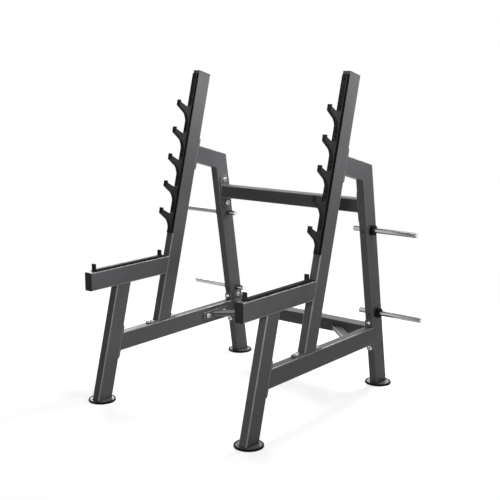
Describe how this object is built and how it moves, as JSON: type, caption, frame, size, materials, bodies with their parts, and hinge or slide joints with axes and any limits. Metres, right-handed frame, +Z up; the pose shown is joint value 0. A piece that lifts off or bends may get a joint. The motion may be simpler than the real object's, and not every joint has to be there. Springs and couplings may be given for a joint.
{
  "type": "squat rack",
  "caption": "Free-standing squat rack: leaning tube side frames with bar hooks, spotter arms and plate storage rods, tied at the rear by cross members and braces.",
  "frame": {"origin": "centre of the floor rectangle under the rack, at floor level", "axes": "+Z up, +X to the right for someone facing the rack's open front, +Y to the rear, where the cross members are; hooks and spotter arms point to -Y"},
  "size_m": [1.652, 1.3608, 1.7946],
  "materials": {
    "frame_paint": "satin charcoal powder coat",
    "hook_plastic": "fine-grained black wear-bar plastic",
    "cap_plastic": "matt dark grey moulded plastic",
    "backing_rubber": "matt black strip",
    "foot_rubber": "matt black moulded rubber",
    "rod_steel": "bright plated steel"
  },
  "bodies": {
    "root": {"brace_left": "frame_paint", "brace_right": "frame_paint", "front_leg_left": "frame_paint", "front_leg_right": "frame_paint", "hook_1_left": "hook_plastic", "hook_1_right": "hook_plastic", "hook_2_left": "hook_plastic", "hook_2_right": "hook_plastic", "hook_3_left": "hook_plastic", "hook_3_right": "hook_plastic", "hook_4_left": "hook_plastic", "hook_4_right": "hook_plastic", "hook_5_left": "hook_plastic", "hook_5_right": "hook_plastic", "knee_beam_left": "frame_paint", "knee_beam_right": "frame_paint", "lower_cross_member": "frame_paint", "lower_rail_left": "frame_paint", "lower_rail_right": "frame_paint", "rail_plate_front_left": "frame_paint", "rail_plate_front_right": "frame_paint", "rail_plate_rear_left": "frame_paint", "rail_plate_rear_right": "frame_paint", "rear_leg_left": "frame_paint", "rear_leg_right": "frame_paint", "rod_collar_lower_left": "foot_rubber", "rod_collar_lower_right": "foot_rubber", "rod_collar_upper_left": "foot_rubber", "rod_collar_upper_right": "foot_rubber", "rubber_foot_front_left": "foot_rubber", "rubber_foot_front_right": "foot_rubber", "rubber_foot_rear_left": "foot_rubber", "rubber_foot_rear_right": "foot_rubber", "spotter_arm_cap_left": "cap_plastic", "spotter_arm_cap_right": "cap_plastic", "spotter_arm_left": "frame_paint", "spotter_arm_right": "frame_paint", "spotter_backing_left": "backing_rubber", "spotter_backing_right": "backing_rubber", "spotter_wear_bar_left": "hook_plastic", "spotter_wear_bar_right": "hook_plastic", "storage_rod_lower_left": "rod_steel", "storage_rod_lower_right": "rod_steel", "storage_rod_upper_left": "rod_steel", "storage_rod_upper_right": "rod_steel", "upper_cross_member": "frame_paint", "upright_backing_left": "backing_rubber", "upright_backing_right": "backing_rubber", "upright_cap_left": "cap_plastic", "upright_cap_right": "cap_plastic", "upright_left": "frame_paint", "upright_right": "frame_paint", "upright_wear_bar_left": "hook_plastic", "upright_wear_bar_right": "hook_plastic"}
  },
  "joints": []
}
